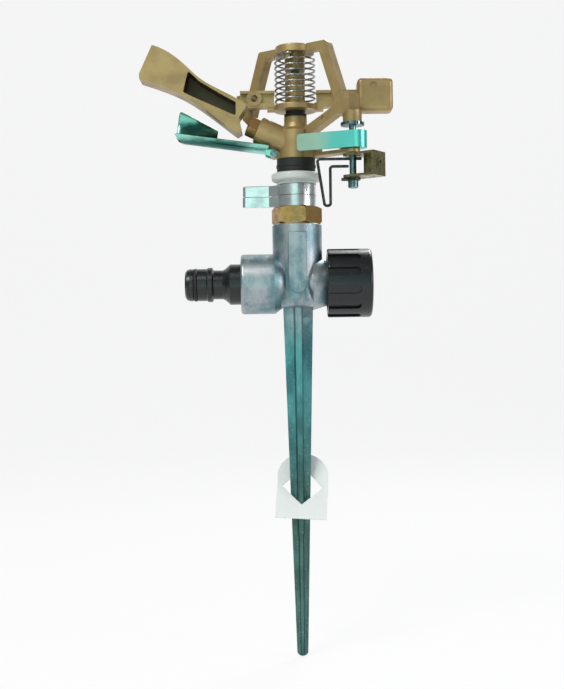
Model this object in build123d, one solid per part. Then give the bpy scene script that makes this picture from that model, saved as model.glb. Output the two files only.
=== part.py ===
from build123d import *
import os
from math import cos, radians, sin, sqrt

# Impulse sprinkler on a ground spike, in millimetres with Z up.
# The origin is the spike tip on the swivel axis, X runs along the water pipe.

# Spike
spike_top = 176.0
spike_top_half_width = 7.5
spike_tip_half_width = 2.7
spike_tip_radius = 3.0
spike_step_height = 61.0
tag_height = 84.5
tag_width = 25.4

# Pipe and upright socket
pipe_above_spike = 10.0
socket_radius = 12.35
socket_height = 41.5
port_radius = 14.9
port_reach = 28.2
port_length = 16.8
port_bore_depth = 14.5
neck_radius = 10.9
neck_right = 16.5
thread_length = 13.5
thread_radius = 13.2
thread_pitch = 1.814
half_inch_bore = 10.5
waterway = 7.0

# End cap
cap_gap = 0.3
cap_left = 14.75
cap_length = 22.0
cap_wall = 3.6
cap_end_wall = 3.9
cap_grooves = 12
groove_depth = 1.3
groove_width = 4.4

# Hose nipple
nipple_length = 27.8
nipple_radius = 8.0
nipple_ring_radius = 8.6
nipple_neck_radius = 7.2
nipple_collar_radius = 10.1
nipple_bore = 4.5
nipple_stub = 13.0
o_ring_wire = 0.95

# Swivel bearing
nut_flats = 22.0
nut_height = 8.5
nut_turn = -11.0
shank_length = 12.5
sleeve_radius = 8.2
sleeve_above_nut = 12.8
swivel_radius = 6.2
swivel_bore = 4.6
swivel_in_head = 4.4
flange_radius = 8.8
flange_height = 2.0
washer_radius = 9.6
rubber_washer = 0.6
nylon_washer = 0.7
running = 0.08

# Range collars
collar_height = 5.2
collar_gap = 0.3
collar_wall = 1.5
tab_reach = 27.0
tab_radius = 1.8

# Washer and sleeve under the head
seat_radius = 12.4
seat_skirt = 1.7
seat_height = 4.0
dust_sleeve_height = 7.0
dust_sleeve_radius = 9.6
bearing_spring_radius = 7.4
bearing_spring_wire = 0.6

# Head casting
head_body = 14.0
head_radius = 8.8
tube_radius = 5.7
tube_above_body = 7.0
barrel_above = 6.4
barrel_rise = 25.0
barrel_length = 20.8
barrel_radius = 6.8
bridge_turn = -36.0
bridge_height = 35.3
bridge_section = 5.6
bridge_beam = 3.8
bridge_top_reach = 20.4
leg_lean = 0.335
pin_radius = 2.0
boss_radius = 9.7

# Drive arm
arm_washer = 1.5
arm_gap = 0.2
hub_height = 17.8
hub_radius = 5.0
hub_flange = 10.8
hub_flange_height = 2.8
bushing_radius = 3.2
beam_height = 8.4
beam_lift = 1.6
weight_right = 48.5
weight_length = 17.7
weight_height = 16.5
weight_drop = 1.2
spoon_front = -8.0
spoon_back = 6.0
spoon_web = 2.5
arm_spring_radius = 9.8
arm_spring_wire = 0.5
arm_spring_pitch = 2.25

# Trip mechanism
shaft_reach = 33.6
shaft_radius = 1.7
shaft_boss = 4.6
boss_above_head = 14.4
ear_height = 1.7
lever_turn = -21.0
lever_lift = 2.0
lever_height = 8.2
lever_length = 27.0
lever_sheet = 1.2
lever_offset = 4.1
lever_bend_at = 2.4
bracket_height = 11.6
bracket_reach = 48.5
bracket_half = 5.5
wire_radius = 0.7
wire_drop = 22.5
wire_reach = 17.3

# Deflector
deflector_pivot_reach = 11.0
deflector_pivot_above = 2.6
deflector_pin = 1.0
deflector_sheet = 0.9
deflector_rise = 8.0
gutter_radius = 7.0
gutter_edge = 4.0
gutter_start = 2.6
bowl_start = 27.8
bowl_length = 21.2
bowl_height = 14.6
bowl_bend = 6.0

# Heights stacked from the spike tip
pipe_height = spike_top + pipe_above_spike
socket_low = spike_top - 2.0
socket_top = socket_low + socket_height
shank_low = socket_top - shank_length
nut_top = socket_top + nut_height
sleeve_top = nut_top + sleeve_above_nut
collar_low = nut_top + collar_gap
collar_step = collar_height + collar_gap
skirt_low = collar_low + 2 * collar_step
seat_low = skirt_low + seat_skirt
seat_top = seat_low + seat_height
head_low = seat_top + dust_sleeve_height
swivel_top = head_low + swivel_in_head
swivel_low = shank_low - 0.1 - 2 * rubber_washer - nylon_washer - flange_height
shoulder_height = head_low + head_body
barrel_height = head_low + barrel_above
tube_top = shoulder_height + tube_above_body
bridge_top = tube_top + bridge_height
bridge_beam_low = bridge_top - bridge_beam
pin_low = tube_top - 6.0
pin_top = bridge_top - 0.9
arm_low = tube_top + 2 * arm_washer + arm_gap
hub_top = arm_low + hub_height
spring_seat_height = arm_low + hub_flange_height
beam_low = arm_low + beam_lift
beam_high = beam_low + beam_height
lever_low = head_low + lever_lift
lever_high = lever_low + lever_height
shaft_boss_low = head_low + boss_above_head
shaft_top = shaft_boss_low + 3.8
bracket_high = head_low - 0.8
bracket_low = bracket_high - bracket_height
shaft_low = bracket_low - 4.8
wire_height = bracket_high - lever_sheet - wire_radius - 0.3
wire_low = wire_height - wire_drop
rivet_height = bracket_low + 6.4

# Places along the pipe
port_left = -port_reach
nipple_tip = port_left - nipple_length
o_ring_at = nipple_tip + 5.1
thread_right = neck_right + thread_length
cap_bore = thread_radius + cap_gap
cap_radius = cap_bore + cap_wall
cap_right = cap_left + cap_length
weight_left = weight_right - weight_length
deflector_pivot = (-deflector_pivot_reach, head_low + deflector_pivot_above)

shaft_x = shaft_reach * cos(radians(bridge_turn))
shaft_y = shaft_reach * sin(radians(bridge_turn))
on_bridge = Rot(0, 0, bridge_turn)
on_shaft = Pos(shaft_x, shaft_y, 0)


def ring(outer, inner, low, high):
    """Upright tube on the swivel axis, solid when the inner radius is zero."""
    middle = (low + high) / 2
    body = Pos(0, 0, middle) * Cylinder(outer, high - low)
    if inner > 0:
        body = body - Pos(0, 0, middle) * Cylinder(inner, high - low + 1)
    return body


def block(x_low, x_high, y_low, y_high, z_low, z_high):
    """Box given by its six faces."""
    centre = Pos((x_low + x_high) / 2, (y_low + y_high) / 2, (z_low + z_high) / 2)
    return centre * Box(x_high - x_low, y_high - y_low, z_high - z_low)


def on_pipe(shape):
    """Lay an upright shape along the pipe, its height running to +X."""
    return Pos(0, 0, pipe_height) * Rot(0, 90, 0) * shape


def turned(*points):
    """Revolve a closed outline of (radius, height) points about the swivel axis."""
    return revolve(make_face(Plane.XZ * Polyline(*points, close=True)), Axis.Z)


def slab(sketch, front, back):
    """Thicken a sketch drawn in X and Z from its front face to its back face."""
    return extrude(Pos(0, back, 0) * (Plane.XZ * sketch), amount=back - front, dir=(0, -1, 0))


def coil(radius, wire, pitch, low, high):
    """Round wire spring on the swivel axis between two wire centre heights."""
    path = Pos(0, 0, low) * Helix(pitch=pitch, height=high - low, radius=radius)
    section = Plane(origin=path @ 0, z_dir=path % 0) * RegularPolygon(wire, 8)
    return sweep(section, path)


# Spike tee


def fin_section(half_width, edge_half, root_half):
    """Long fin seen from above, thick at the core and thin at both edges."""
    return Polygon(
        (-half_width, -edge_half),
        (0, -root_half),
        (half_width, -edge_half),
        (half_width, edge_half),
        (0, root_half),
        (-half_width, edge_half),
        align=None,
    )


def spike():
    """Four tapered fins in a cross, rounded at the tip."""
    low = fin_section(spike_tip_half_width, 0.55, 1.3)
    high = fin_section(spike_top_half_width, 1.1, 2.6)
    plate = loft([low, Pos(0, 0, spike_top) * high])
    cross = plate + Rot(0, 0, 90) * plate
    allowed = Pos(0, 0, spike_tip_radius) * Sphere(spike_tip_radius)
    allowed += ring(2 * socket_radius, 0, spike_tip_radius, spike_top + 1)
    cross = cross & allowed
    widening = (spike_top_half_width - spike_tip_half_width) * spike_step_height / spike_top
    step_low = fin_section(spike_tip_half_width + widening + 0.4, 1.0, 2.1)
    step_high = fin_section(spike_top_half_width + 0.15, 1.5, 2.8)
    step = loft([Pos(0, 0, spike_step_height) * step_low, Pos(0, 0, spike_top) * step_high])
    cross += Rot(0, 0, 90) * step
    ejector_mark = Rot(90, 0, 0) * Cylinder(2.0, 1.0)
    return cross + Pos(spike_top_half_width / 2, -1.85, spike_top - 8.8) * ejector_mark


def thread_ridges():
    """Pipe thread drawn as plain ridges at the thread's pitch."""
    core = thread_radius - 0.9
    points = [(0, neck_right - 0.5), (core, neck_right - 0.5)]
    turns = int((thread_right - neck_right) / thread_pitch)
    for turn in range(turns):
        foot = neck_right + turn * thread_pitch
        points.append((core, foot))
        points.append((thread_radius, foot + 0.35 * thread_pitch))
        points.append((thread_radius, foot + 0.55 * thread_pitch))
        points.append((core, foot + 0.9 * thread_pitch))
    points += [(core, thread_right), (0, thread_right)]
    return turned(*points)


def spike_tee():
    """Die casting with the spike, both pipe ends and the upright socket."""
    socket = ring(socket_radius, 0, socket_low, socket_top)
    socket = fillet(socket.edges().sort_by(Axis.Z)[0], 4.5)
    socket = chamfer(socket.edges().sort_by(Axis.Z)[-1], 0.6)
    port_right = port_left + port_length
    port = ring(port_radius, 0, port_left, port_right)
    port = fillet(port.edges().sort_by(Axis.Z)[0], 1.4)
    cone = turned((0, port_right - 1), (port_radius, port_right - 1), (port_radius, port_right),
                  (neck_radius, port_right + 5.4), (0, port_right + 5.4))
    neck = ring(neck_radius, 0, port_right, neck_right)
    flare_left = neck_right - 9.0
    neck += turned((0, flare_left), (neck_radius + 2.4, flare_left), (neck_radius, neck_right - 1),
                   (0, neck_right - 1))
    pipe = on_pipe(port + cone + neck + thread_ridges())
    tongue_half = 4.6
    tongue_low = pipe_height - 0.4
    tongue_high = socket_top - 4.5
    panel = Pos(0, (tongue_high + tongue_low) / 2) * Rectangle(2 * tongue_half, tongue_high - tongue_low)
    panel += Pos(0, tongue_low) * Circle(tongue_half)
    tongue = slab(panel, -socket_radius - 1.0, -socket_radius + 3.4)
    tongue = chamfer(tongue.faces().sort_by(Axis.Y)[0].edges(), 0.35)
    body = spike() + socket + pipe + tongue
    body -= on_pipe(ring(half_inch_bore, 0, port_left - 1, port_left + port_bore_depth))
    body -= on_pipe(ring(waterway, 0, port_left, thread_right + 1))
    body -= ring(half_inch_bore, 0, swivel_low - 1, socket_top + 1)
    body -= ring(waterway, 0, pipe_height, swivel_low)
    return body


def end_cap():
    """Screw cap with round-ended grip recesses."""
    body = ring(cap_radius, 0, cap_left, cap_right)
    body = fillet(body.edges().sort_by(Axis.Z)[-1], 1.6)
    body = fillet(body.edges().sort_by(Axis.Z)[0], 0.7)
    body -= ring(cap_bore, 0, cap_left - 1, cap_right - cap_end_wall)
    groove_end = cap_left + 0.64 * cap_length
    groove = Rectangle(30, groove_width) + Pos(15, 0) * Circle(groove_width / 2)
    cutter = extrude(Pos(groove_end - 15, 0, cap_radius - groove_depth) * groove, amount=4)
    cutter = Rot(0, -90, 0) * cutter
    for number in range(cap_grooves):
        body -= Rot(0, 0, 13 + number * 360 / cap_grooves) * cutter
    return on_pipe(body)


def cap_washer():
    """Flat seal between the thread end and the cap's end wall."""
    return on_pipe(ring(thread_radius, waterway + 0.5, thread_right + 0.15, cap_right - cap_end_wall))


def hose_nipple():
    """Hose end with its ring groove and the threaded stub."""
    groove = nipple_radius - 1.65
    tip = nipple_tip
    outline = [
        (nipple_bore, tip),
        (nipple_radius - 1.6, tip),
        (nipple_radius - 0.4, tip + 0.9),
        (nipple_radius, tip + 2.4),
        (nipple_radius, o_ring_at - 1.1),
        (groove, o_ring_at - 1.1),
        (groove, o_ring_at + 1.1),
        (nipple_radius, o_ring_at + 1.1),
        (nipple_radius, port_left - 17.1),
        (nipple_ring_radius, port_left - 16.5),
        (nipple_ring_radius, port_left - 14.4),
        (nipple_neck_radius, port_left - 13.6),
        (nipple_neck_radius, port_left - 9.2),
        (nipple_neck_radius + 0.7, port_left - 7.8),
        (nipple_collar_radius, port_left - 5.4),
        (nipple_collar_radius, port_left),
        (half_inch_bore - 0.05, port_left),
        (half_inch_bore - 0.05, port_left + nipple_stub - 1),
        (half_inch_bore - 0.8, port_left + nipple_stub),
        (nipple_bore, port_left + nipple_stub),
    ]
    return on_pipe(turned(*outline))


def nipple_o_ring():
    """Seal ring in the nipple's groove."""
    seat = nipple_radius - 1.65
    return on_pipe(Pos(0, 0, o_ring_at) * Torus(seat + o_ring_wire, o_ring_wire))


def spike_tag():
    """Card label threaded over the spike by its diamond hole."""
    arch = Pos(0, 4.5) * Circle(tag_width / 2 + 0.5) + Pos(0, -6.5) * Rectangle(tag_width, 23)
    arch = fillet(arch.vertices().group_by(Axis.Y)[0], 1.2)
    card = arch - Rot(0, 0, 45) * Rectangle(14.6, 14.6)
    sheet = Rot(0, 4, 0) * slab(card, -0.25, 0.25)
    return Pos(1.0, 0, tag_height) * Rot(-32, 0, 0) * sheet


# Swivel bearing


def bearing_nut():
    """Hexagon nut with its shank in the socket and a sleeve for the collars."""
    across_corners = nut_flats / sqrt(3)
    hexagon = Rot(0, 0, nut_turn) * RegularPolygon(across_corners, 6)
    body = extrude(Pos(0, 0, socket_top) * hexagon, amount=nut_top - socket_top)
    face = nut_flats / 2 + 0.2
    round_off = turned(
        (0, socket_top),
        (face, socket_top),
        (across_corners + 0.1, socket_top + 1.0),
        (across_corners + 0.1, nut_top - 1.0),
        (face, nut_top),
        (0, nut_top),
    )
    body = body & round_off
    body += ring(half_inch_bore - 0.05, 0, shank_low, socket_top + 1)
    body += ring(sleeve_radius, 0, nut_top - 1, sleeve_top)
    return body - ring(swivel_radius + running, 0, shank_low - 1, sleeve_top + 1)


def swivel_tube():
    """Flanged tube that turns in the nut and carries the head."""
    flange = ring(flange_radius, 0, swivel_low, swivel_low + flange_height)
    tube = ring(swivel_radius, 0, swivel_low, swivel_top)
    return flange + tube - ring(swivel_bore, 0, swivel_low - 1, swivel_top + 1)


def thrust_washers_rubber():
    """Two soft washers, above and below the hard one."""
    low = swivel_low + flange_height
    high = low + rubber_washer + nylon_washer
    below = ring(washer_radius, swivel_radius + running, low, low + rubber_washer)
    above = ring(washer_radius, swivel_radius + running, high, high + rubber_washer)
    return Compound(children=[below, above])


def thrust_washer_nylon():
    """Hard washer between the two soft ones."""
    low = swivel_low + flange_height + rubber_washer
    return ring(washer_radius, swivel_radius + running, low, low + nylon_washer)


def range_collar(low, angle):
    """Sprung band with a round-ended finger tab pointing to -X."""
    inner = sleeve_radius + running
    outer = inner + collar_wall
    band = ring(outer, inner, low, low + collar_height)
    tab_end = tab_reach - tab_radius
    tab = Pos(-(tab_end + inner) / 2, 0) * Rectangle(tab_end - inner, 2 * tab_radius)
    tab += Pos(-tab_end, 0) * Circle(tab_radius)
    flare = Polygon((-inner, -4.2), (-inner, 4.2), (-outer - 4, tab_radius), (-outer - 4, -tab_radius), align=None)
    tab += flare
    finger = extrude(Pos(0, 0, low) * tab, amount=collar_height)
    finger = chamfer(finger.faces().sort_by(Axis.Z)[-1].edges(), 0.35)
    finger -= ring(inner, 0, low - 1, low + collar_height + 1)
    slit = block(-tab_reach + 9, -inner + 1, -0.3, 0.3, low - 1, low + collar_height + 1)
    return Rot(0, 0, angle) * (band + finger - slit)


def spring_seat():
    """Rounded plastic washer that caps the sleeve under the dust sleeve."""
    body = ring(seat_radius, 0, seat_low, seat_top)
    body = fillet(body.edges(), 1.3)
    body += ring(dust_sleeve_radius + 0.3, 0, skirt_low, seat_low + 1)
    body -= ring(sleeve_radius + 0.3, 0, skirt_low - 1, sleeve_top + 0.2)
    return body - ring(swivel_radius + running, 0, skirt_low, seat_top + 1)


def dust_sleeve():
    """Rubber skirt round the bearing spring."""
    inner = dust_sleeve_radius - 1
    bead = (seat_top + head_low) / 2
    body = ring(dust_sleeve_radius, inner, seat_top, head_low)
    return body + ring(dust_sleeve_radius + 0.3, inner, bead - 0.6, bead + 0.5)


def bearing_spring():
    """Short coil of three turns that keeps the swivel seated."""
    low = seat_top + bearing_spring_wire
    high = head_low - bearing_spring_wire
    return coil(bearing_spring_radius, bearing_spring_wire, (high - low) / 3, low, high)


# Head casting


def leg_outer(height):
    """Distance of a bridge leg's outer face from the axis at one height."""
    return bridge_top_reach + leg_lean * (bridge_top - height)


def bridge():
    """Two leaning legs, the top beam and the rising struts, in one plane."""
    half = bridge_section / 2
    strut_low = head_low + 8.8
    elbow_height = tube_top + 2.5
    foot = leg_outer(elbow_height)
    outer = Polygon(
        (-5, strut_low), (3 - foot, tube_top - 0.4), (-foot, elbow_height), (-bridge_top_reach, bridge_top),
        (bridge_top_reach, bridge_top), (foot, elbow_height), (foot - 3, tube_top - 0.4), (5, strut_low),
        align=None,
    )
    outer = fillet(outer.vertices().group_by(Axis.Y)[-1], 1.6)
    inner_top = leg_outer(bridge_beam_low) - bridge_section
    inner_low = leg_outer(elbow_height) - bridge_section
    window = Polygon(
        (-5, shoulder_height), (-inner_low, elbow_height + 0.5), (-inner_top, bridge_beam_low),
        (inner_top, bridge_beam_low), (inner_low, elbow_height + 0.5), (5, shoulder_height),
        align=None,
    )
    window = fillet(window.vertices().group_by(Axis.Y)[-1], 2.0)
    return slab(outer - window, -half, half)


def head_casting():
    """Body, nozzle barrel, bridge and the lugs that carry the moving parts."""
    body = ring(head_radius, 0, head_low, shoulder_height)
    body += turned((0, shoulder_height - 1), (head_radius, shoulder_height),
                   (tube_radius + 1, shoulder_height + 1.6), (tube_radius, shoulder_height + 4),
                   (0, shoulder_height + 4))
    body += ring(tube_radius, 0, shoulder_height - 4, tube_top)
    barrel_turn = Pos(0, 0, barrel_height) * Rot(0, barrel_rise - 90, 0)
    barrel = ring(barrel_radius, 0, 0, barrel_length)
    body += barrel_turn * chamfer(barrel.edges().sort_by(Axis.Z)[-1], 0.5)
    frame = bridge()
    frame += block(shaft_reach - 7.5, shaft_reach + 1.3, -4.4, 4.4, shaft_top + 0.5, shaft_top + 11.1)
    ear_top = head_low + ear_height
    frame += block(5, head_radius + 4.4, -4.0, 4.0, head_low, head_low + 4.6)
    frame += block(5, shaft_reach, -3.6, 3.6, head_low, ear_top)
    dimple = Rot(90, 0, 0) * Cylinder(1.3, 1.0)
    body += on_bridge * (frame - Pos(0.55 * shaft_reach, -bridge_section / 2, tube_top - 3) * dimple)
    body += on_shaft * ring(3.6, 0, head_low, ear_top)
    body += on_shaft * ring(shaft_boss, 0, shaft_boss_low, shaft_top + 1.8)
    boss = ring(boss_radius, 0, bridge_beam_low + 0.1, bridge_top)
    body += fillet(boss.edges().sort_by(Axis.Z)[-1], 0.7)
    body += ring(hub_radius, 0, hub_top + 2, bridge_beam_low + 0.5)
    body += block(-4.6, -2.4, -8.0, -5.0, bridge_beam_low - 4, bridge_beam_low + 0.5)
    lug_x, lug_z = deflector_pivot
    lug = Pos(lug_x, 0, lug_z) * Rot(90, 0, 0) * Cylinder(deflector_pin + 0.9, 6.0)
    lug += block(lug_x, 1.8 - head_radius, -3.0, 3.0, lug_z - deflector_pin - 0.9, lug_z + 3.0)
    body += lug
    body -= Pos(lug_x, 0, lug_z) * Rot(90, 0, 0) * Cylinder(deflector_pin, 20)
    body -= ring(swivel_radius, 0, head_low - 1, swivel_top)
    body -= ring(swivel_bore, 0, swivel_top - 1, barrel_height + 1.6)
    body -= barrel_turn * ring(3.2, 0, 0, barrel_length + 1)
    body -= barrel_turn * ring(4.2, 0, barrel_length - 6, barrel_length + 1)
    body -= ring(pin_radius, 0, pin_low, pin_top)
    body -= on_shaft * ring(shaft_radius + 0.05, 0, head_low - 1, shaft_top + 0.2)
    return body


def nozzle():
    """Brass hexagon nozzle screwed into the barrel."""
    hexagon = Rot(0, 0, 18) * RegularPolygon(5.75, 6)
    body = extrude(Pos(0, 0, barrel_length) * hexagon, amount=5.1)
    tip = barrel_length + 5.1
    round_off = turned(
        (0, barrel_length), (5.2, barrel_length), (5.8, barrel_length + 0.5),
        (5.8, tip - 1.0), (5.0, tip), (0, tip),
    )
    body = body & round_off
    body += ring(4.2, 0, barrel_length - 5.5, barrel_length + 1)
    body -= turned((0, tip + 0.1), (2.6, tip + 0.1), (2.0, tip - 1.2), (2.0, tip - 3.5),
                   (3.0, barrel_length - 6), (0, barrel_length - 6))
    return Pos(0, 0, barrel_height) * Rot(0, barrel_rise - 90, 0) * body


def fulcrum_pin():
    """Steel pin between the tube and the bridge, carrying the arm."""
    return ring(pin_radius, 0, pin_low, pin_top)


def deflector_pin_part():
    """Cross pin through the head lug and the deflector's two ears."""
    lug_x, lug_z = deflector_pivot
    shank = Cylinder(deflector_pin, 10.4)
    head = Pos(0, 0, 5.2) * Cylinder(1.8, 0.9)
    tail = Pos(0, 0, -5.1) * Cylinder(1.5, 0.6)
    return Pos(lug_x, 0, lug_z) * Rot(90, 0, 0) * (shank + head + tail)


def serrated_washer():
    """Toothed washer pressed under the shaft boss."""
    teeth = 18
    low = shaft_boss_low - 1.5
    body = ring(shaft_boss + 0.5, 0, low, shaft_boss_low)
    for number in range(teeth):
        tooth = block(shaft_boss, shaft_boss + 1.1, -0.45, 0.45, low, shaft_boss_low)
        body += Rot(0, 0, number * 360 / teeth) * tooth
    return on_shaft * (body - ring(shaft_radius + 0.05, 0, low - 1, shaft_boss_low + 1))


# Drive arm


def beam(left, right, half_depth):
    """Straight I-section length of the arm."""
    rails = block(left, right, -half_depth, half_depth, beam_low, beam_low + 2.2)
    rails += block(left, right, -half_depth, half_depth, beam_high - 1.4, beam_high)
    return rails + block(left, right, -0.9, 0.9, beam_low, beam_high)


def spoon():
    """Curved water spoon, a channel open to the front with a blunt solid tip."""
    z = arm_low
    upper = Spline((-24, z + 2.3), (-37.5, z + 9.8), (-47.5, z + 15.8), (-55, z + 22.8),
                   (-62, z + 28.3), (-70.5, z + 32.2))
    tip = Polyline((-70.5, z + 32.2), (-77, z + 18.2), (-77, z + 15.7))
    lower = Spline((-77, z + 15.7), (-66, z + 11.8), (-55, z + 6.8), (-42.5, z - 1.7), (-29, z - 12.2))
    root = Polyline((-29, z - 12.2), (-26.6, z - 10.7), (-28, z - 4.2), (-24, z + 2.3))
    body = slab(make_face([upper, tip, lower, root]), spoon_front, spoon_back)
    pocket = Polygon(
        (-52.8, z + 19.3), (-47.5, z + 14.1), (-37.5, z + 8.0), (-29.5, z + 3.4),
        (-29.5, z - 3.3), (-49.5, z + 5.8), (-55.5, z + 8.8),
        align=None,
    )
    pocket = fillet(pocket.vertices(), 0.8)
    return body - slab(pocket, spoon_front - 1, spoon_back - spoon_web)


def drive_arm():
    """Arm casting with hub, spoon, stop lug and counterweight."""
    body = beam(-27.5, -3.0, 2.75) + beam(3.0, weight_left + 1, 2.5)
    body -= ring(arm_spring_radius + arm_spring_wire + 0.3, 0, spring_seat_height, beam_high + 1)
    for side in (-1, 1):
        body += block(side * 11 - 3, side * 11 + 3, -2.4, 2.4, arm_low, spring_seat_height)
    body += ring(hub_radius, 0, arm_low, hub_top)
    flange = ring(hub_flange, 0, arm_low, spring_seat_height)
    body += fillet(flange.edges().sort_by(Axis.Z)[-1], 0.6)
    eye = Pos(-20.5, -0.2, beam_low + 4.5) * Rot(90, 0, 0)
    body += eye * Cylinder(3.8, 5.9)
    weight_low = arm_low - weight_drop
    weight = block(weight_left, weight_right, -6.0, 5.0, weight_low, weight_low + weight_height)
    body += fillet(weight.edges(), 2.2)
    body += spoon()
    body += on_bridge * block(-26, -22.4, -14.2, -3.0, beam_low + 1.2, beam_high - 1.2)
    body -= Pos(weight_left + 8.0, -6.0, weight_low + 12.6) * Rot(90, 0, 0) * Cylinder(1.7, 1.2)
    body -= eye * Cylinder(1.8, 20)
    return body - ring(bushing_radius, 0, arm_low - 1, hub_top + 1)


def arm_bushing():
    """Plastic liner of the hub."""
    return ring(bushing_radius, pin_radius + 0.06, arm_low, hub_top)


def arm_washers():
    """Two stacked washers between the tube and the arm."""
    lower = ring(5.6, pin_radius + 0.02, tube_top, tube_top + arm_washer)
    upper = ring(4.9, pin_radius + 0.02, tube_top + arm_washer, tube_top + 2 * arm_washer)
    return Compound(children=[lower, upper])


def arm_spring():
    """Return spring between the arm's flange and the bridge boss."""
    low = spring_seat_height + arm_spring_wire
    return coil(arm_spring_radius, arm_spring_wire, arm_spring_pitch, low, bridge_beam_low - 0.9)


# Trip mechanism


def trip_shaft():
    """Upright shaft with a head, cross-drilled for the wire."""
    body = ring(shaft_radius, 0, shaft_low, shaft_top)
    head = ring(2.5, 0, shaft_low, shaft_low + 3.6)
    body += chamfer(head.edges().sort_by(Axis.Z)[0], 0.5)
    body -= Pos(0, 0, wire_height) * Rot(0, 90, 0) * Cylinder(wire_radius + 0.05, 10)
    return on_shaft * body


def shaft_clip():
    """Spring clip with two prongs, under the bracket."""
    low = shaft_low + 3.7
    body = ring(3.6, shaft_radius, low, bracket_low)
    body -= block(-6, 0, -1.1, 1.1, low - 1, bracket_low + 1)
    for side in (-1, 1):
        prong = block(-5.4, -1.8, side * 1.9 - 0.5, side * 1.9 + 0.5, low, bracket_low)
        body += Rot(0, 0, side * 8) * prong
    return on_shaft * (body - ring(shaft_radius, 0, low - 1, bracket_low + 1))


def trip_lever():
    """Sheet strip folded round the shaft, carried by its lower web."""
    bend_at = lever_bend_at
    height = lever_high - lever_low
    cheek = block(-lever_length, bend_at, -lever_offset - 0.6, -lever_offset + 0.6, lever_low, lever_high)
    cheek = fillet(cheek.edges().filter_by(Axis.Y).group_by(Axis.X)[0], 1.6)
    back = block(-6.0, bend_at, lever_offset - 0.6, lever_offset + 0.6, lever_low, lever_high)
    back = fillet(back.edges().filter_by(Axis.Y).group_by(Axis.X)[0], 1.6)
    bend = ring(lever_offset + 0.6, lever_offset - 0.6, 0, height)
    bend -= block(-9, 0, -9, 9, -1, height + 1)
    web = block(-6.0, bend_at, -lever_offset, lever_offset, lever_low, lever_low + lever_sheet)
    web += Pos(bend_at, 0, 0) * ring(lever_offset, 0, lever_low, lever_low + lever_sheet)
    body = cheek + back + Pos(bend_at, 0, lever_low) * bend + web
    body -= ring(shaft_radius, 0, lever_low - 1, lever_low + 2)
    return on_shaft * Rot(0, 0, lever_turn) * body


def trip_bracket():
    """Plated sheet box, open at the front, clipped on the shaft."""
    sheet = lever_sheet
    left = shaft_reach - 3.2
    half = bracket_half
    floor = block(left, bracket_reach, -half, half, bracket_low, bracket_low + sheet)
    floor = fillet(floor.edges().filter_by(Axis.Z).group_by(Axis.X)[0], 2.4)
    roof = Pos(0, 0, bracket_high - bracket_low - sheet) * floor
    end = block(bracket_reach - sheet, bracket_reach, -half, half, bracket_low, bracket_high)
    end = fillet(end.edges().filter_by(Axis.X), 1.0)
    back = block(shaft_reach + 3.4, bracket_reach, half - sheet, half, bracket_low, bracket_high)
    body = floor + roof + end + back
    body -= Pos(bracket_reach, 0, rivet_height) * Rot(0, 90, 0) * Cylinder(1.3, 6)
    body -= Pos(shaft_reach, 0, 0) * ring(shaft_radius, 0, bracket_low - 1, bracket_high + 1)
    return on_bridge * body


def bracket_rivet():
    """Hollow rivet through the bracket's end wall."""
    shank = Cylinder(1.3, 2.6) + Pos(0, 0, 0.85) * Cylinder(2.1, 0.5)
    rivet = Rot(0, 90, 0) * (shank - Cylinder(0.7, 9))
    return on_bridge * Pos(bracket_reach - lever_sheet / 2, 0, rivet_height) * rivet


def trip_wire():
    """Bent wire that hangs between the collar tabs and hinges in the shaft."""
    loop_left = shaft_x - wire_reach
    path = FilletPolyline(
        (shaft_x + 4.2, shaft_y, wire_height),
        (loop_left, shaft_y, wire_height),
        (loop_left + 3.4, shaft_y, wire_low),
        (loop_left + 6.3, shaft_y, wire_low),
        (loop_left + 6.3, shaft_y, wire_height - 3.6),
        (shaft_x - shaft_radius - 0.4, shaft_y, wire_height - 3.6),
        radius=1.25,
    )
    return sweep(Plane(origin=path @ 0, z_dir=path % 0) * Circle(wire_radius), path)


# Deflector


def deflector():
    """Sheet scoop under the jet: dished strip, curved bowl and two ears on the pin."""
    pivot_x, pivot_z = deflector_pivot
    sheet = deflector_sheet
    outer = gutter_radius + sheet
    section = Circle(outer) - Circle(gutter_radius)
    section &= Pos(0, -outer) * Rectangle(3 * outer, 2 * gutter_edge)
    strip_length = bowl_start - gutter_start + 1
    strip = extrude(Plane.YZ * (Pos(0, gutter_radius + sheet / 2) * section), amount=-strip_length)
    body = Pos(-gutter_start, 0, 0) * strip
    for side in (-1, 1):
        ear = Pos(0, side * 4.1, 0) * Rot(90, 0, 0) * Cylinder(deflector_pin + 0.9, 1.2)
        body += ear + block(-4.5, -0.5, side * 4.1 - 0.6, side * 4.1 + 0.6, -0.4, 1.6)
    bend = bowl_bend
    floor = Pos(-2.5, sheet / 2) * Rectangle(2 * bend - 1, sheet)
    corner = (Circle(bend) - Circle(bend - sheet)) & Pos(bend / 2, -bend / 2) * Rectangle(bend, bend)
    wall = Pos(bend - sheet / 2, bowl_height / 2 + bend / 2) * Rectangle(sheet, bowl_height - bend)
    section = floor + Pos(0, bend) * corner + wall
    bowl = extrude(Plane.YZ * (Pos(3.0, -sheet / 2) * section), amount=-bowl_length)
    left = -bowl_length - 1
    outline = Polygon((0, -1), (0, bowl_bend + 1), (left + 7, bowl_height + 1), (left, bowl_height + 1),
                      (left, -1), align=None)
    outline = Pos(1, 0) * outline
    low_left = outline.vertices().group_by(Axis.X)[0].sort_by(Axis.Y)[0]
    outline = fillet(low_left, bowl_bend)
    body += Pos(-bowl_start, 0, 0) * (bowl & slab(outline, -20, 20))
    body -= Rot(90, 0, 0) * Cylinder(deflector_pin + 0.05, 20)
    return Pos(pivot_x, 0, pivot_z) * Rot(0, deflector_rise, 0) * body


# Files


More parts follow.
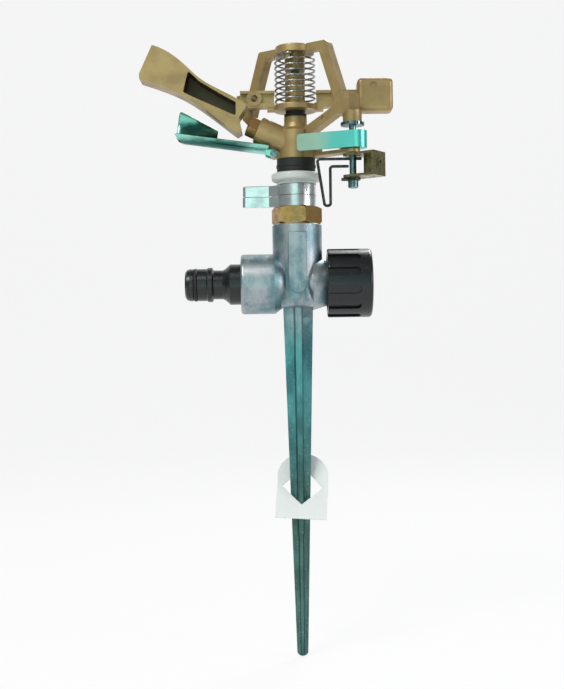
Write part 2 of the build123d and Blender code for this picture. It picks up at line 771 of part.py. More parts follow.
pieces = {
    "spike_tee": spike_tee(),
    "hose_nipple": hose_nipple(),
    "nipple_o_ring": nipple_o_ring(),
    "end_cap": end_cap(),
    "cap_washer": cap_washer(),
    "spike_tag": spike_tag() - spike(),
    "bearing_nut": bearing_nut(),
    "swivel_tube": swivel_tube(),
    "thrust_washers_rubber": thrust_washers_rubber(),
    "thrust_washer_nylon": thrust_washer_nylon(),
    "collar_lower": range_collar(collar_low, 0),
    "collar_upper": range_collar(collar_low + collar_step, -5),
    "spring_seat": spring_seat(),
    "dust_sleeve": dust_sleeve(),
    "bearing_spring": bearing_spring(),
    "head_casting": head_casting(),
    "nozzle": nozzle(),
    "fulcrum_pin": fulcrum_pin(),
    "deflector_pin": deflector_pin_part(),
    "serrated_washer": serrated_washer(),
    "drive_arm": drive_arm(),
    "arm_bushing": arm_bushing(),
    "arm_washers": arm_washers(),
    "arm_spring": arm_spring(),
    "trip_shaft": trip_shaft(),
    "shaft_clip": shaft_clip(),
    "trip_lever": trip_lever(),
    "trip_bracket": trip_bracket(),
    "bracket_rivet": bracket_rivet(),
    "trip_wire": trip_wire(),
    "deflector": deflector(),
}

os.makedirs("parts", exist_ok=True)
for name, shape in pieces.items():
    export_step(shape, f"parts/{name}.step")
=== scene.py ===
import bpy
import math
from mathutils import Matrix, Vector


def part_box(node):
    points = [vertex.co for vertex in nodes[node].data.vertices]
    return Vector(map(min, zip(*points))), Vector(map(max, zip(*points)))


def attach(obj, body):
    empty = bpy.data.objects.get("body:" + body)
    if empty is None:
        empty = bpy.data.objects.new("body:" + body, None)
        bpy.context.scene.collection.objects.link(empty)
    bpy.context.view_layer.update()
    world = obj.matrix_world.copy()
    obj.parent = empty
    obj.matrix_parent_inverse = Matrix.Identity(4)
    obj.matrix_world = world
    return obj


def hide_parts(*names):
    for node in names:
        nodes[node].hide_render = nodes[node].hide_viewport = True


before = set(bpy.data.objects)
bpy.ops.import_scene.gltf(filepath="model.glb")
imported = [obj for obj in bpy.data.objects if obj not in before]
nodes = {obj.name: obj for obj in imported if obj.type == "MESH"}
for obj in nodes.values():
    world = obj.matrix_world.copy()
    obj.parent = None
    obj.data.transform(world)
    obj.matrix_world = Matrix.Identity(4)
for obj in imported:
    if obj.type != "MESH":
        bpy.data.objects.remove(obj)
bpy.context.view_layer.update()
bpy.ops.object.select_all(action="DESELECT")

# Camera
# The photograph was taken level, from about half the sprinkler's height and close enough
# to show perspective, with the top of the sprinkler leaning a little to the left.
viewpoint = (-0.0083, -0.580, 0.15575)
level = math.radians(90)
camera_roll = math.radians(0.8)
bpy.ops.object.camera_add(location=viewpoint, rotation=(level, camera_roll, 0))
camera = bpy.context.object
camera.data.sensor_width = 36
camera.data.lens = 60.6
camera.data.clip_start = 0.01
bpy.context.scene.camera = camera
bpy.context.scene.view_settings.view_transform = "Standard"

# Studio
# A white sweep of paper lies under the sprinkler and bends up behind it. Soft lamps stand
# left, right and behind, with a weak mint one in front, in a pale grey room.


class Wire:
    """One output socket in a material, on which Python's operators add Math nodes."""

    def __init__(self, tree, socket=None):
        self.tree = tree
        self.socket = socket

    def node(self, kind, output=0, settings=None, inputs=None):
        """Adds a node, sets it up, fills its sockets with values or wires, gives one output."""
        made = self.tree.nodes.new("ShaderNode" + kind)
        for name, value in (settings or {}).items():
            setattr(made, name, value)
        for name, value in (inputs or {}).items():
            if isinstance(value, Wire):
                self.tree.links.new(value.socket, made.inputs[name])
            else:
                made.inputs[name].default_value = value
        return Wire(self.tree, made.outputs[output])

    def reckon(self, operation, *values):
        """Adds a Math node that works on the values."""
        return self.node("Math", settings={"operation": operation}, inputs=dict(enumerate(values)))

    def __add__(self, other):
        return self.reckon("ADD", self, other)

    def __sub__(self, other):
        return self.reckon("SUBTRACT", self, other)

    def __rsub__(self, other):
        return self.reckon("SUBTRACT", other, self)

    def __mul__(self, other):
        return self.reckon("MULTIPLY", self, other)

    __radd__ = __add__
    __rmul__ = __mul__

    def step(self, start, end):
        """Rises smoothly from 0 to 1 as the value goes from start to end."""
        limits = {"Value": self, "From Min": start, "From Max": end}
        return self.node("MapRange", settings={"interpolation_type": "SMOOTHSTEP"}, inputs=limits)

    def between(self, start, end):
        """Colour that goes from start to end as the value goes from 0 to 1."""
        first, second = [(*tone, 1) if isinstance(tone, tuple) else tone for tone in (start, end)]
        colours = {0: self, 6: first, 7: second}
        return self.node("Mix", output=2, settings={"data_type": "RGBA"}, inputs=colours)

    def noise(self, size, detail=3.0, roughness=0.5, stretch=(1, 1, 1)):
        """Cloudy noise whose blotches are about size metres across."""
        place = self.node("Mapping", inputs={"Vector": self, "Scale": stretch})
        return self.node("TexNoise", inputs={
            "Vector": place, "Scale": 1 / size, "Detail": detail, "Roughness": roughness})

    def bump(self, depth, strength=1.0):
        """Normal of a relief of this depth in metres."""
        return self.node("Bump", inputs={"Height": self, "Distance": depth, "Strength": strength})

    def feed(self, shader, name):
        """Links the wire to a shader's socket."""
        self.tree.links.new(self.socket, shader.inputs[name])


def new_finish(name, metallic=0.0, roughness=0.5, coat=0.0, coat_roughness=0.1,
               colour=(0.5, 0.5, 0.5)):
    """Starts a material, returning it with its shader and the wire of its place on the object."""
    finish = bpy.data.materials.new(name)
    finish.use_nodes = True
    shader = finish.node_tree.nodes["Principled BSDF"]
    shader.inputs["Base Color"].default_value = (*colour, 1)
    shader.inputs["Metallic"].default_value = metallic
    shader.inputs["Roughness"].default_value = roughness
    shader.inputs["Coat Weight"].default_value = coat
    shader.inputs["Coat Roughness"].default_value = coat_roughness
    place = Wire(finish.node_tree).node("TexCoord", output="Object")
    return finish, shader, place


def pick(wanted):
    """Opens the active mesh with only those vertices selected that pass the test."""
    bpy.ops.object.mode_set(mode="EDIT")
    bpy.ops.mesh.select_mode(type="VERT")
    bpy.ops.mesh.select_all(action="DESELECT")
    bpy.ops.object.mode_set(mode="OBJECT")
    for point in bpy.context.object.data.vertices:
        point.select = wanted(point)
    bpy.ops.object.mode_set(mode="EDIT")


def soft_light(name, place, aim, size, power, tint):
    """Square area lamp turned to a point."""
    bpy.ops.object.light_add(type="AREA", location=place)
    lamp = bpy.context.object
    lamp.name = name
    lamp.data.size = size
    lamp.data.energy = power
    lamp.data.color = tint
    way = [aim[axis] - place[axis] for axis in range(3)]
    flat = math.hypot(way[0], way[1])
    lamp.rotation_euler = (math.atan2(flat, -way[2]), 0, math.atan2(-way[0], way[1]))


sweep_width = 4.0
sweep_depth = 1.1
sweep_front = 4.0
sweep_height = 3.0
bend_steps = 12
bend_stride = 0.09
floor_gap = 0.0004
bpy.ops.mesh.primitive_plane_add(size=1, location=(0, 0, 0))
sweep = bpy.context.object
sweep.name = "paper_sweep"
sweep.scale = (sweep_width, sweep_depth * 2, 1)
bpy.ops.object.transform_apply(scale=True)
pick(lambda point: point.co.y < 0)
bpy.ops.transform.translate(value=(0, -sweep_front, 0))
bpy.ops.object.mode_set(mode="OBJECT")
pick(lambda point: point.co.y > 0)
for bend in range(bend_steps):
    lift = math.radians(90 * (bend + 0.5) / bend_steps)
    move = (0, bend_stride * math.cos(lift), bend_stride * math.sin(lift))
    bpy.ops.mesh.extrude_region_move(TRANSFORM_OT_translate={"value": move})
bpy.ops.mesh.extrude_region_move(TRANSFORM_OT_translate={"value": (0, 0, sweep_height)})
bpy.ops.object.mode_set(mode="OBJECT")
bpy.ops.object.shade_smooth()
sweep.location.z = -floor_gap

paper_glow = 0.85
paper, paper_shader, paper_place = new_finish("white paper", roughness=0.9, colour=(0.9, 0.9, 0.9))
seen = paper_place.node("LightPath", output="Is Camera Ray")
for ray in ("Is Glossy Ray", "Is Transmission Ray"):
    seen = seen.reckon("MAXIMUM", seen, paper_place.node("LightPath", output=ray))
lit = Wire(paper.node_tree, paper_shader.outputs[0])
glow = paper_place.node("Emission", inputs={"Color": (1, 1, 1, 1), "Strength": 1.0})
white = paper_place.node("MixShader", inputs={0: seen * paper_glow, 1: lit, 2: glow})
white.feed(paper.node_tree.nodes["Material Output"], "Surface")
sweep.data.materials.append(paper)

room_grey = (0.24, 0.27, 0.27)
room_white = (1.0, 1.0, 1.0)
world = bpy.data.worlds.new("studio")
world.use_nodes = True
bpy.context.scene.world = world
room = world.node_tree.nodes["Background"]
room_seen = Wire(world.node_tree).node("LightPath", output="Is Camera Ray")
room_seen.between(room_grey, room_white).feed(room, "Color")
room.inputs["Strength"].default_value = 1.0

soft_light("key", place=(-0.45, -0.65, 0.95), aim=(0, 0, 0.2), size=0.45, power=7.5,
           tint=(1.0, 0.97, 0.93))
soft_light("fill", place=(0.8, -0.4, 0.35), aim=(0, 0, 0.2), size=0.4, power=2.6,
           tint=(1.0, 0.98, 1.0))
soft_light("front card", place=(-0.16, -0.78, 0.27), aim=(0, 0, 0.22), size=0.5, power=0.8,
           tint=(0.55, 1.0, 0.92))
soft_light("rim", place=(0.3, 0.6, 0.9), aim=(0, 0, 0.25), size=0.4, power=4.0,
           tint=(1.0, 1.0, 1.0))

# Spike tee
# One zinc die casting with a sandy skin, bare, grey and brightest at the pipe. Down the neck it
# turns teal, partly the zinc's own blue-green and partly a painted teal reflection, and it grows
# darker towards the tip.


def wear(finish, *names):
    """Puts a finish on CAD nodes."""
    for name in names:
        for holder in nodes[name].material_slots:
            holder.material = finish


pipe_clean, pipe_stained = (0.40, 0.43, 0.46), (0.15, 0.25, 0.28)
# The neck and tip tones are teal, partly the zinc's own blue-green and partly painted teal
# reflection.
neck_teal_reflection_clean, neck_teal_reflection_stained = (0.10, 0.34, 0.35), (0.05, 0.17, 0.19)
tip_teal_reflection_clean, tip_teal_reflection_stained = (0.09, 0.20, 0.18), (0.05, 0.11, 0.10)
pit_glint = (0.75, 0.85, 0.86)
zinc, zinc_shader, zinc_place = new_finish("bare zinc casting", metallic=0.85)
height = zinc_place.node("SeparateXYZ", output="Z", inputs={"Vector": zinc_place})
cloud = zinc_place.noise(0.009, detail=5, roughness=0.62, stretch=(1, 1, 0.5)).step(0.36, 0.64)
grain = zinc_place.noise(0.0006, detail=3, roughness=0.7)
pits = zinc_place.noise(0.0009, detail=2).step(0.6, 0.72)
teal_reflection_rise = height.step(0.06, 0.15)
pipe = height.step(0.150, 0.176)
clean = pipe.between(teal_reflection_rise.between(tip_teal_reflection_clean, neck_teal_reflection_clean), pipe_clean)
stained = pipe.between(teal_reflection_rise.between(tip_teal_reflection_stained, neck_teal_reflection_stained), pipe_stained)
(pits * 0.18).between(cloud.between(clean, stained), pit_glint).feed(zinc_shader, "Base Color")
(0.30 + grain * 0.16).feed(zinc_shader, "Roughness")
(grain * 0.7 + pits * 0.3).bump(0.00012, 0.7).feed(zinc_shader, "Normal")
wear(zinc, "spike_tee")

# Hose nipple and end cap
# Injection-moulded black plastic, glossy where the tool was polished, with fine scuffs.
# Both are screwed on to the ends of the tee.
plastic_black, plastic_scuffed = (0.0045, 0.005, 0.007), (0.03, 0.034, 0.04)
moulding, moulding_shader, moulding_place = new_finish(
    "glossy black moulding", roughness=0.3, coat=0.08, coat_roughness=0.15,
    colour=(0.01, 0.01, 0.012))
scuffs = moulding_place.noise(0.0009, detail=4, roughness=0.65, stretch=(0.3, 1, 1))
scuffs = scuffs.step(0.55, 0.75)
haze = moulding_place.noise(0.008, detail=2)
(scuffs * 0.25).between(plastic_black, plastic_scuffed).feed(moulding_shader, "Base Color")
(0.22 + haze * 0.14 + scuffs * 0.15).feed(moulding_shader, "Roughness")
scuffs.bump(0.00004, 0.5).feed(moulding_shader, "Normal")
wear(moulding, "hose_nipple", "end_cap")

# Rubber seals
# Black rubber, matt and a little dusty: the nipple's O-ring, the cap's flat seal, the dust
# sleeve, and the washers under the arm and in the swivel.
rubber_black, rubber_dusty = (0.005, 0.006, 0.006), (0.03, 0.034, 0.03)
rubber, rubber_shader, rubber_place = new_finish("black rubber", roughness=0.62)
dust = rubber_place.noise(0.0012, detail=4, roughness=0.7)
dusty = dust.step(0.5, 0.8) * 0.4
dusty.between(rubber_black, rubber_dusty).feed(rubber_shader, "Base Color")
(0.5 + dust * 0.25).feed(rubber_shader, "Roughness")
dust.bump(0.00005, 0.6).feed(rubber_shader, "Normal")
wear(rubber, "nipple_o_ring", "cap_washer", "dust_sleeve", "arm_washers",
     "thrust_washers_rubber")

# Brass fittings
# Bearing nut, nozzle and the swivel tube inside, all turned from brass, with fine lathe
# rings and dull patches.
brass_bright, brass_dull = (0.50, 0.27, 0.09), (0.27, 0.19, 0.08)
brass, brass_shader, brass_place = new_finish("turned brass", metallic=1.0)
rings = brass_place.noise(0.0004, detail=1, stretch=(0.02, 0.02, 1))
tarnish = brass_place.noise(0.005, detail=4, roughness=0.6).step(0.4, 0.65)
tarnish.between(brass_bright, brass_dull).feed(brass_shader, "Base Color")
(0.24 + tarnish * 0.16 + rings * 0.08).feed(brass_shader, "Roughness")
rings.bump(0.00003, 0.5).feed(brass_shader, "Normal")
wear(brass, "bearing_nut", "nozzle", "swivel_tube")

# Range collars
# Two sprung bands of polished steel that grip the nut's sleeve, with finger tabs, and with
# fine lines along the band.
band_bright, band_smudged = (0.80, 0.80, 0.80), (0.60, 0.63, 0.65)
collar, collar_shader, collar_place = new_finish("polished steel band", metallic=1.0)
lines = collar_place.noise(0.0003, detail=2, stretch=(0.05, 0.05, 1))
smudge = collar_place.noise(0.006, detail=3).step(0.35, 0.7)
smudge.between(band_bright, band_smudged).feed(collar_shader, "Base Color")
(0.16 + smudge * 0.14 + lines * 0.08).feed(collar_shader, "Roughness")
lines.bump(0.00002, 0.4).feed(collar_shader, "Normal")
wear(collar, "collar_lower", "collar_upper")

# Plastic washers
# Off-white nylon, faintly mottled: the seat above the collars, the arm's liner and the
# hard thrust washer.
nylon_dull, nylon_pale = (0.50, 0.52, 0.50), (0.62, 0.63, 0.62)
nylon, nylon_shader, nylon_place = new_finish("off-white nylon", roughness=0.4)
mottle = nylon_place.noise(0.003, detail=3)
mottle.between(nylon_dull, nylon_pale).feed(nylon_shader, "Base Color")
(0.32 + mottle * 0.16).feed(nylon_shader, "Roughness")
mottle.bump(0.00005, 0.3).feed(nylon_shader, "Normal")
wear(nylon, "spring_seat", "arm_bushing", "thrust_washer_nylon")

# Gold castings
# Head and drive arm, die castings under satin gold-bronze paint with orange peel. It is brighter
# where it is rubbed, and darker where it lies thick. The spoon's pocket is painted dark brown as a
# painted shadow.
paint_rubbed, paint_thick = (0.40, 0.275, 0.115), (0.27, 0.19, 0.08)
flake_gleam = (0.56, 0.42, 0.22)
gold, gold_shader, gold_place = new_finish(
    "gold-bronze paint", metallic=0.55, coat=0.15, coat_roughness=0.35)
peel = gold_place.noise(0.0011, detail=2)
flake = gold_place.noise(0.00035, detail=1)
thick = gold_place.noise(0.010, detail=3).step(0.35, 0.7)
paint = thick.between(paint_rubbed, paint_thick)
paint = (flake.step(0.55, 0.75) * 0.3).between(paint, flake_gleam)

# Painted shadow: the spoon's pocket is painted dark brown, darker than its own shading makes it.
pocket_painted_shadow = (0.035, 0.022, 0.012)
pocket_shade = 0.85
roof_slope, roof_level = 0.682, 0.2559
floor_slope, floor_level = 0.465, 0.2548
outside, inside = 0.0006, 0.0002
mouth, back = (-0.0079, -0.0070), (0.0040, 0.0037)
hub_end, free_end = (-0.0285, -0.0300), (-0.0565, -0.0555)
gold_x, gold_y, gold_z = [
    gold_place.node("SeparateXYZ", output=axis, inputs={"Vector": gold_place}) for axis in "XYZ"]
under_roof = (gold_x * roof_slope + gold_z - roof_level).step(outside, -inside)
over_floor = (gold_x * floor_slope + gold_z - floor_level).step(-outside, inside)
pocket_shadow_mask = under_roof * over_floor * gold_y.step(*mouth) * gold_y.step(*back)
pocket_shadow_mask = pocket_shadow_mask * gold_x.step(*hub_end) * gold_x.step(*free_end)
(pocket_shadow_mask * pocket_shade).between(paint, pocket_painted_shadow).feed(gold_shader, "Base Color")
(0.36 + thick * 0.10 + flake * 0.08).feed(gold_shader, "Roughness")
(peel * 0.8 + flake * 0.2).bump(0.00010, 0.5).feed(gold_shader, "Normal")
wear(gold, "head_casting", "drive_arm")

# Steel pins and washer
# The pins of the arm and the deflector, the trip shaft and the serrated washer above it,
# in plain steel, greyish and a little stained.
steel_clean, steel_stained = (0.20, 0.30, 0.31), (0.07, 0.13, 0.135)
steel, steel_shader, steel_place = new_finish("plain steel", metallic=1.0)
stain = steel_place.noise(0.002, detail=4, roughness=0.6).step(0.4, 0.7)
stain.between(steel_clean, steel_stained).feed(steel_shader, "Base Color")
(0.26 + stain * 0.2).feed(steel_shader, "Roughness")
stain.bump(0.00004, 0.3).feed(steel_shader, "Normal")
wear(steel, "fulcrum_pin", "deflector_pin", "serrated_washer", "trip_shaft")

# Dark wire
# Bearing spring, the clip on the trip shaft and the bent trip wire, all of dark hardened
# wire, drawn smooth and lightly oiled.
wire_clean, wire_oiled = (0.07, 0.075, 0.075), (0.025, 0.03, 0.03)
dark_wire, wire_shader, wire_place = new_finish("dark wire", metallic=0.9)
oil = wire_place.noise(0.002, detail=3).step(0.3, 0.7)
oil.between(wire_clean, wire_oiled).feed(wire_shader, "Base Color")
(0.26 + oil * 0.15).feed(wire_shader, "Roughness")
oil.bump(0.00002, 0.3).feed(wire_shader, "Normal")
wear(dark_wire, "bearing_spring", "shaft_clip", "trip_wire")

# Arm spring
# Bright wire with dark drawing marks, wound in nearly nine open turns from the arm's flange
# up to the bridge. Its lower tail lies on the flange, and its upper end is bent inwards.


def apply_modifiers(piece):
    """Applies the active piece's modifiers in their order."""
    for modifier in list(piece.modifiers):
        bpy.ops.object.modifier_apply(modifier=modifier.name)


def fit_piece(piece, name, body, finish, stands_for):
    """Names a finished piece, sets it in its place and gives it its body, slot and finish."""
    bpy.ops.object.mode_set(mode="EDIT")
    bpy.ops.mesh.select_all(action="SELECT")
    bpy.ops.mesh.normals_make_consistent(inside=False)
    bpy.ops.object.mode_set(mode="OBJECT")
    bpy.ops.object.transform_apply(location=True, rotation=True, scale=True)
    piece.name = name
    piece.data.materials.clear()
    piece.data.materials.append(finish)
    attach(piece, body)
    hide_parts(stands_for)


spring_bright, spring_marked = (0.42, 0.42, 0.38), (0.10, 0.11, 0.11)
spring_steel, spring_shader, spring_place = new_finish("bright spring wire", metallic=1.0)
drawn = spring_place.noise(0.0015, detail=3, stretch=(1, 1, 3)).step(0.35, 0.7)
drawn.between(spring_bright, spring_marked).feed(spring_shader, "Base Color")
(0.20 + drawn * 0.18).feed(spring_shader, "Roughness")
drawn.bump(0.00002, 0.3).feed(spring_shader, "Normal")

spring_low, spring_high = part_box("arm_spring")
wire_radius = 0.0005
wire_sides = 10
coil_radius = (spring_high[0] - spring_low[0]) / 2 - wire_radius
coil_low = spring_low[2] + wire_radius
coil_rise = spring_high[2] - spring_low[2] - 2 * wire_radius
coil_turns = 8.7
coil_passes = 9
pass_steps = 30
spring_turn = math.radians(-3)
hook = ((0.0008, 0.0001), (0.0007, 0.0005), (0.0003, 0.0008), (0, 0.0010))
tail = ((0.0010, 0.0), (0.0009, 0.0002), (0.0007, 0.0005))
bpy.ops.mesh.primitive_circle_add(
    vertices=wire_sides, radius=wire_radius, location=(coil_radius, 0, coil_low),
    rotation=(math.radians(90), 0, 0))
spring = bpy.context.object
bpy.ops.object.transform_apply(location=True, rotation=True)
screw = spring.modifiers.new("turns", "SCREW")
screw.angle = math.tau * coil_turns / coil_passes
screw.screw_offset = coil_rise / coil_passes
screw.iterations = coil_passes
screw.steps = pass_steps
screw.render_steps = pass_steps
apply_modifiers(spring)
coil_end = math.tau * coil_turns
onward = (-math.sin(coil_end), math.cos(coil_end))
inward = (-math.cos(coil_end), -math.sin(coil_end))
last_ring = len(spring.data.vertices) - wire_sides
pick(lambda point: point.index >= last_ring)
for ahead, aside in hook:
    move = [onward[axis] * ahead + inward[axis] * aside for axis in (0, 1)]
    bpy.ops.mesh.extrude_region_move(TRANSFORM_OT_translate={"value": (*move, 0)})
bpy.ops.mesh.edge_face_add()
pick(lambda point: point.index < wire_sides)
for ahead, aside in tail:
    bpy.ops.mesh.extrude_region_move(TRANSFORM_OT_translate={"value": (aside, -ahead, 0)})
bpy.ops.mesh.edge_face_add()
bpy.ops.object.mode_set(mode="OBJECT")
spring.rotation_euler = (0, 0, spring_turn)
bpy.ops.object.shade_smooth()
fit_piece(spring, "arm_spring_wire", "arm", spring_steel, "arm_spring")

# Trip lever
# A strip of bright plated sheet folded round the trip shaft, brushed along its length. Its pale
# green is partly the plating's own cast and partly painted reflection, and it turns to a painted
# mint reflection towards the fold.
# Painted reflection: pale green turning mint towards the fold, partly the plating's own tint.
lever_pale, lever_mint_reflection = (0.42, 0.66, 0.52), (0.14, 0.66, 0.58)
lever_sheet, lever_shader, lever_place = new_finish("bright plated sheet", metallic=0.85)
along = lever_place.node("SeparateXYZ", output="X", inputs={"Vector": lever_place})
brushed = lever_place.noise(0.0004, detail=2, stretch=(0.05, 1, 1))
mist = lever_place.noise(0.009, detail=2)
fold_reflection_ramp = (along + mist * 0.012).step(0.016, 0.026)
fold_reflection_ramp.between(lever_pale, lever_mint_reflection).feed(lever_shader, "Base Color")
(0.22 + brushed * 0.10 + mist * 0.10).feed(lever_shader, "Roughness")
brushed.bump(0.00002, 0.4).feed(lever_shader, "Normal")
wear(lever_sheet, "trip_lever")

# Jet scoop
# One pressed chromed sheet, held by two ears on the deflector pin, painted in patches of dark
# shadow and mint reflection. A dished strip runs out under the spoon, where its back wall rises to
# a rounded corner at the free end.
# Painted shadow and painted mint reflection, laid in patches by noise.
scoop_shadow, scoop_sheen = (0.03, 0.12, 0.10), (0.30, 0.66, 0.56)
scoop_sheet, scoop_shader, scoop_place = new_finish("chromed sheet with painted sheen and shadow", metallic=1.0)
sheen = scoop_place.noise(0.011, detail=3, stretch=(0.5, 1, 1)).step(0.40, 0.62)
scratch = scoop_place.noise(0.0005, detail=3, stretch=(0.1, 1, 1))
sheen.between(scoop_shadow, scoop_sheen).feed(scoop_shader, "Base Color")
(0.14 + scratch * 0.12 + sheen * 0.06).feed(scoop_shader, "Roughness")
scratch.bump(0.00002, 0.4).feed(scoop_shader, "Normal")

pivot = (-0.011, 0, 0.2506)
scoop_tilt = math.radians(8)
scoop_length = 0.048
scoop_radius = 0.00745
scoop_ribs = 16
sheet_thickness = 0.0009
dish_depth = 0.0036
near_rim = dish_depth - 0.0002
strip_share = 0.55
wall_start = -scoop_length * strip_share
wall_rise = ((0.0022, 0.0014), (0.0036, 0.0007), (0.0046, 0.0002), (0.0056, 0.0))
wall_top = 0.0095
wall_slope = (0.36, 0, 0.933)
corner_across, corner_up = 0.0065, 0.0055
pin_gap = 0.0026
bpy.ops.mesh.primitive_cylinder_add(
    vertices=28, radius=scoop_radius, depth=scoop_length, end_fill_type="NOTHING",
    rotation=(0, math.radians(90), 0))
scoop = bpy.context.object
bpy.ops.object.transform_apply(rotation=True)
bpy.ops.object.mode_set(mode="EDIT")
bpy.ops.mesh.select_all(action="SELECT")
bpy.ops.mesh.bisect(
    plane_co=(0, 0, dish_depth - scoop_radius), plane_no=(0, 0, 1), clear_outer=True)
for rib in range(1, scoop_ribs):
    bpy.ops.mesh.select_all(action="SELECT")
    bpy.ops.mesh.bisect(
        plane_co=(scoop_length * (rib / scoop_ribs - 0.5), 0, 0), plane_no=(1, 0, 0))
bpy.ops.mesh.select_all(action="SELECT")
bpy.ops.transform.translate(value=(-scoop_length / 2, 0, scoop_radius))
bpy.ops.object.mode_set(mode="OBJECT")
pick(lambda point: point.co.x < wall_start and point.co.y > 0 and point.co.z > near_rim)
for lift, outward in wall_rise:
    bpy.ops.mesh.extrude_region_move(TRANSFORM_OT_translate={"value": (0, outward, lift)})
bpy.ops.object.mode_set(mode="OBJECT")
pick(lambda point: point.co.x < wall_start + sheet_thickness / 2
     and point.co.y > 0 and point.co.z > near_rim)
bpy.ops.mesh.bisect(plane_co=(wall_start, 0, wall_top), plane_no=wall_slope, clear_outer=True)
for lean in (15, 40, 65):
    corner = math.radians(lean)
    cut_x = corner_across * (1 - math.cos(corner)) - scoop_length
    cut_z = corner_up * (1 - math.sin(corner))
    bpy.ops.mesh.select_all(action="SELECT")
    bpy.ops.mesh.bisect(
        plane_co=(cut_x, 0, cut_z), plane_no=(-math.cos(corner), 0, -math.sin(corner)),
        clear_outer=True)
bpy.ops.mesh.select_all(action="SELECT")
bpy.ops.mesh.remove_doubles(threshold=0.0001)
bpy.ops.mesh.normals_make_consistent(inside=False)
bpy.ops.transform.translate(value=(-pin_gap, 0, 0))
bpy.ops.object.mode_set(mode="OBJECT")
thickness = scoop.modifiers.new("sheet", "SOLIDIFY")
thickness.thickness = sheet_thickness
thickness.offset = 0
soft = scoop.modifiers.new("soft", "SUBSURF")
soft.levels = 2
apply_modifiers(scoop)
bpy.ops.object.shade_smooth()

ear_radius = 0.0019
ear_width = 0.0009
ear_thickness = 0.0011
ear_side = 0.0041
ear_edge = 0.0002
foot_start = -0.0012
foot_reach = (-0.0026, 0, 0.0003)
for side in (-1, 1):
    bpy.ops.mesh.primitive_circle_add(
        vertices=24, radius=ear_radius, fill_type="NGON", location=(0, side * ear_side, 0),
        rotation=(math.radians(90), 0, 0))
    ear = bpy.context.object
    bpy.ops.object.transform_apply(location=True, rotation=True)
    bpy.ops.object.mode_set(mode="EDIT")
    bpy.ops.mesh.select_all(action="SELECT")
    bpy.ops.mesh.inset(thickness=ear_width)
    bpy.ops.mesh.delete(type="FACE")
    bpy.ops.object.mode_set(mode="OBJECT")
    pick(lambda point: point.co.x < foot_start)
    bpy.ops.transform.translate(value=foot_reach)
    bpy.ops.object.mode_set(mode="OBJECT")
    thickness = ear.modifiers.new("sheet", "SOLIDIFY")
    thickness.thickness = ear_thickness
    thickness.offset = 0
    rounded = ear.modifiers.new("edges", "BEVEL")
    rounded.width = ear_edge
    rounded.segments = 2
    apply_modifiers(ear)
    scoop.select_set(True)
    bpy.context.view_layer.objects.active = scoop
    bpy.ops.object.join()
scoop.rotation_euler = (0, scoop_tilt, 0)
scoop.location = pivot
fit_piece(scoop, "jet_scoop", "jet_deflector", scoop_sheet, "deflector")

# Trip bracket
# A folded sheet bracket with a hollow rivet, carried by the trip shaft. Both are zinc plated
# and passivated yellow, which has turned blotchy.
plate_yellow, plate_blotched = (0.38, 0.32, 0.15), (0.13, 0.12, 0.06)
plated, plated_shader, plated_place = new_finish("yellow zinc plate", metallic=0.9)
blotch = plated_place.noise(0.003, detail=4, roughness=0.65).step(0.35, 0.65)
blotch.between(plate_yellow, plate_blotched).feed(plated_shader, "Base Color")
(0.26 + blotch * 0.16).feed(plated_shader, "Roughness")
blotch.bump(0.00003, 0.3).feed(plated_shader, "Normal")
wear(plated, "trip_bracket", "bracket_rivet")

# Spike tag
# White coated card, bare, with an arched top and a diamond hole by which it is pushed up
# the spike. It lies aslant there, with both ends slightly curled.
card_dull, card_white = (0.72, 0.73, 0.735), (0.80, 0.81, 0.815)
card, card_shader, card_place = new_finish("white card", roughness=0.55)
fibre = card_place.noise(0.0012, detail=4, roughness=0.7, stretch=(1, 1, 0.4))
fibre.between(card_dull, card_white).feed(card_shader, "Base Color")
(0.45 + fibre * 0.2).feed(card_shader, "Roughness")
fibre.bump(0.00006, 0.4).feed(card_shader, "Normal")

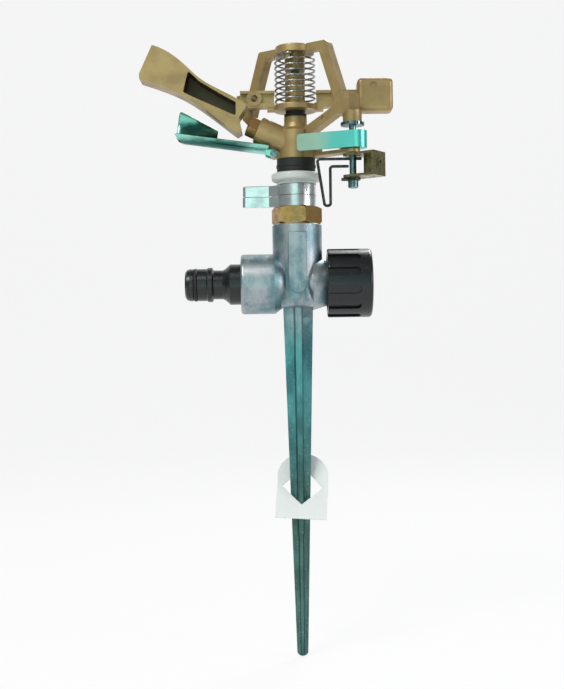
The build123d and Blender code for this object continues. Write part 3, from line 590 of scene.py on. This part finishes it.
tag_width = 0.0254
tag_height = 0.0357
tag_thickness = 0.0005
hole_reach = 0.0103
arch_centre = 0.0045
arch_radius = 0.0132
tag_twist = math.radians(4)
tag_slope = math.radians(-32)
tag_place = (0.001, 0, 0.0845)
curls = {-1: (0.0165, 0.0016, 0.016), 1: (0.014, 0.0010, 0.012)}
bpy.ops.mesh.primitive_grid_add(x_subdivisions=18, y_subdivisions=24, size=1)
tag = bpy.context.object
tag.scale = (tag_width, tag_height, 1)
tag.location = (0, arch_centre + arch_radius - tag_height / 2, 0)
bpy.ops.object.transform_apply(location=True, scale=True)
bpy.ops.object.mode_set(mode="EDIT")
for lean in range(15, 180, 10):
    slope = (math.cos(math.radians(lean)), math.sin(math.radians(lean)), 0)
    touch = (slope[0] * arch_radius, arch_centre + slope[1] * arch_radius, 0)
    bpy.ops.mesh.select_all(action="SELECT")
    bpy.ops.mesh.bisect(plane_co=touch, plane_no=slope, clear_outer=True)
for side, end in ((1, 1), (1, -1), (-1, 1), (-1, -1)):
    bpy.ops.mesh.select_all(action="SELECT")
    bpy.ops.mesh.bisect(plane_co=(side * hole_reach, 0, 0), plane_no=(side, end, 0))
bpy.ops.mesh.select_mode(type="FACE")
bpy.ops.mesh.select_all(action="DESELECT")
bpy.ops.object.mode_set(mode="OBJECT")
for face in tag.data.polygons:
    face.select = abs(face.center.x) + abs(face.center.y) < hole_reach
bpy.ops.object.mode_set(mode="EDIT")
bpy.ops.mesh.delete(type="FACE")
bpy.ops.object.mode_set(mode="OBJECT")
for end, (edge, lift, spread) in curls.items():
    pick(lambda point: point.co.y * end > edge)
    bpy.ops.transform.translate(
        value=(0, 0, lift), use_proportional_edit=True, proportional_edit_falloff="SMOOTH",
        proportional_size=spread)
    bpy.ops.object.mode_set(mode="OBJECT")
thickness = tag.modifiers.new("card", "SOLIDIFY")
thickness.thickness = tag_thickness
thickness.offset = 0
apply_modifiers(tag)
bpy.ops.object.shade_smooth_by_angle(angle=math.radians(35))
for turn in ((math.radians(90), 0, 0), (0, tag_twist, 0)):
    tag.rotation_euler = turn
    bpy.ops.object.transform_apply(rotation=True)
tag.rotation_euler = (tag_slope, 0, 0)
tag.location = tag_place
fit_piece(tag, "card_tag", "base", card, "spike_tag")
